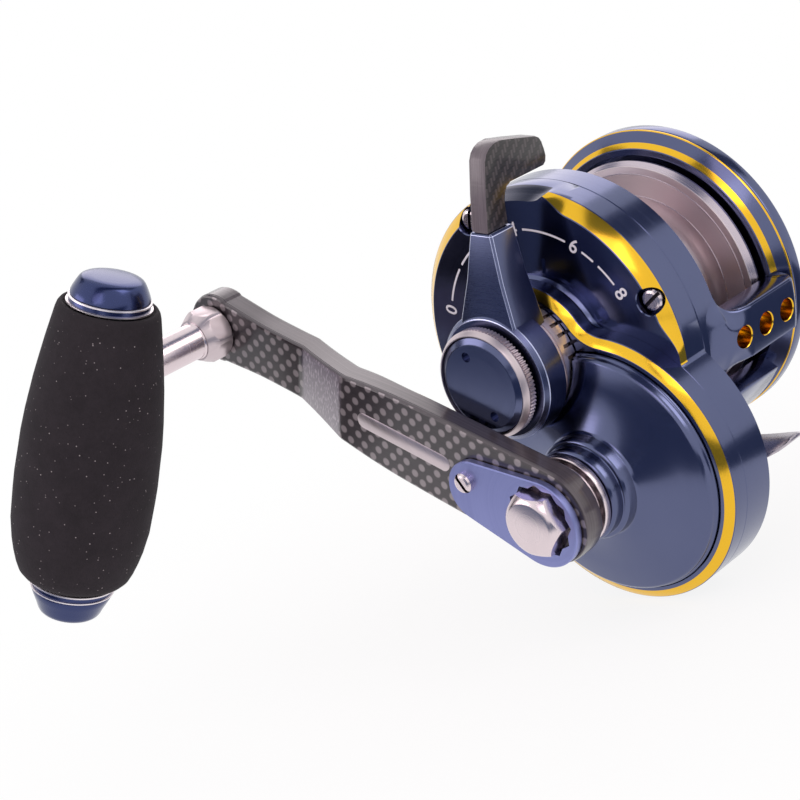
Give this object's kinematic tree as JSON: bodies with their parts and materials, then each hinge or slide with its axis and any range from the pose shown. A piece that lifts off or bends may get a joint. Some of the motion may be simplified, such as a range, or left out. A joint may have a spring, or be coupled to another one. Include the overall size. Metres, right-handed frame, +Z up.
{
  "type": "trolling reel",
  "caption": "Overhead lever-drag trolling reel with an open narrow spool, side gear case, cranked handle arm and a barrel knob.",
  "frame": {"origin": "middle of the flat underside of the foot, below the middle of the spool", "axes": "+X along the spool axis to the handle side, +Y towards the rod tip, +Z up away from the rod"},
  "size_m": [0.1256, 0.1426, 0.0996],
  "materials": {
    "navy_anodised": "satin anodised navy with gold-coloured cut edges",
    "stainless_steel": "polished stainless steel",
    "bearing_steel": "ground bearing steel",
    "foot_aluminium": "grey anodised",
    "gunmetal_anodised": "gunmetal anodised",
    "gear_bronze": "machined",
    "drag_friction": "woven friction sheet",
    "carbon_laminate": "satin woven carbon laminate",
    "black_foam": "closed-cell foam"
  },
  "bodies": {
    "body": {"frame": "navy_anodised", "reel_foot": "foot_aluminium", "foot_screw_1": "stainless_steel", "foot_screw_2": "stainless_steel", "left_side_plate": "navy_anodised", "left_plate_screw_1": "stainless_steel", "left_plate_screw_2": "stainless_steel", "left_plate_screw_3": "stainless_steel", "left_bearing": "bearing_steel", "right_side_plate": "navy_anodised", "side_plate_screw_1": "stainless_steel", "side_plate_screw_2": "stainless_steel", "side_plate_screw_3": "stainless_steel", "gear_cover": "navy_anodised", "gear_cap": "navy_anodised", "roller_clutch": "bearing_steel", "outer_drive_bearing": "bearing_steel", "inner_drive_bearing": "bearing_steel", "cam_ring": "stainless_steel", "pinion_bearing": "bearing_steel"},
    "shaft": {"spool_shaft": "stainless_steel", "spring_washer_1": "stainless_steel", "spring_washer_2": "stainless_steel"},
    "spool": {"spool": "gunmetal_anodised", "spool_bearing_left": "bearing_steel", "spool_bearing_right": "bearing_steel", "drag_plate": "stainless_steel"},
    "pinion": {"pinion_gear": "gear_bronze", "drag_disc": "stainless_steel", "drag_washer": "drag_friction"},
    "lever": {"drag_lever": "navy_anodised", "lever_tip": "carbon_laminate"},
    "preset": {"preset_cap": "navy_anodised", "preset_ring": "stainless_steel"},
    "crank": {"drive_shaft": "stainless_steel", "main_gear": "gear_bronze", "shaft_collar": "stainless_steel", "handle_arm": "carbon_laminate", "arm_lock_plate": "navy_anodised", "handle_nut": "stainless_steel", "lock_plate_screw": "stainless_steel", "knob_spindle": "stainless_steel", "spindle_screw": "stainless_steel"},
    "knob": {"grip": "black_foam", "knob_core": "stainless_steel", "knob_bearing_inner": "bearing_steel", "knob_bearing_outer": "bearing_steel", "grip_ring_upper": "stainless_steel", "grip_ring_lower": "stainless_steel", "grip_cap_upper": "navy_anodised", "grip_cap_lower": "navy_anodised"}
  },
  "joints": [
    {"name": "crank_turn", "type": "hinge", "parent": "body", "child": "crank", "pos_m": [0.045, 0.01179, 0.0096], "axis": [1, 0, 0], "continuous": true},
    {"name": "knob_spin", "type": "hinge", "parent": "crank", "child": "knob", "pos_m": [0.0824, -0.07371, 0.0526], "axis": [1, 0, 0], "continuous": true},
    {"name": "pinion_spin", "type": "hinge", "parent": "body", "child": "pinion", "pos_m": [0.025, 0, 0.035], "axis": [1, 0, 0], "continuous": true},
    {"name": "lever_swing", "type": "hinge", "parent": "body", "child": "lever", "pos_m": [0.039, 0, 0.035], "axis": [1, 0, 0], "range_deg": [-55, 79]},
    {"name": "shaft_slide", "type": "slide", "parent": "body", "child": "shaft", "axis": [1, 0, 0], "range_m": [-0.0007, 0.0005]},
    {"name": "spool_spin", "type": "hinge", "parent": "shaft", "child": "spool", "pos_m": [0, 0, 0.035], "axis": [1, 0, 0], "continuous": true},
    {"name": "preset_turn", "type": "hinge", "parent": "shaft", "child": "preset", "pos_m": [0.045, 0, 0.035], "axis": [1, 0, 0], "range_deg": [-180, 180]}
  ],
  "couplings": [
    {"joint": "pinion_spin", "follows": "crank_turn", "ratio": -3.6667},
    {"joint": "spool_spin", "follows": "crank_turn", "ratio": -3.6667},
    {"joint": "shaft_slide", "follows": "lever_swing", "m_per_rad": -0.0005}
  ]
}
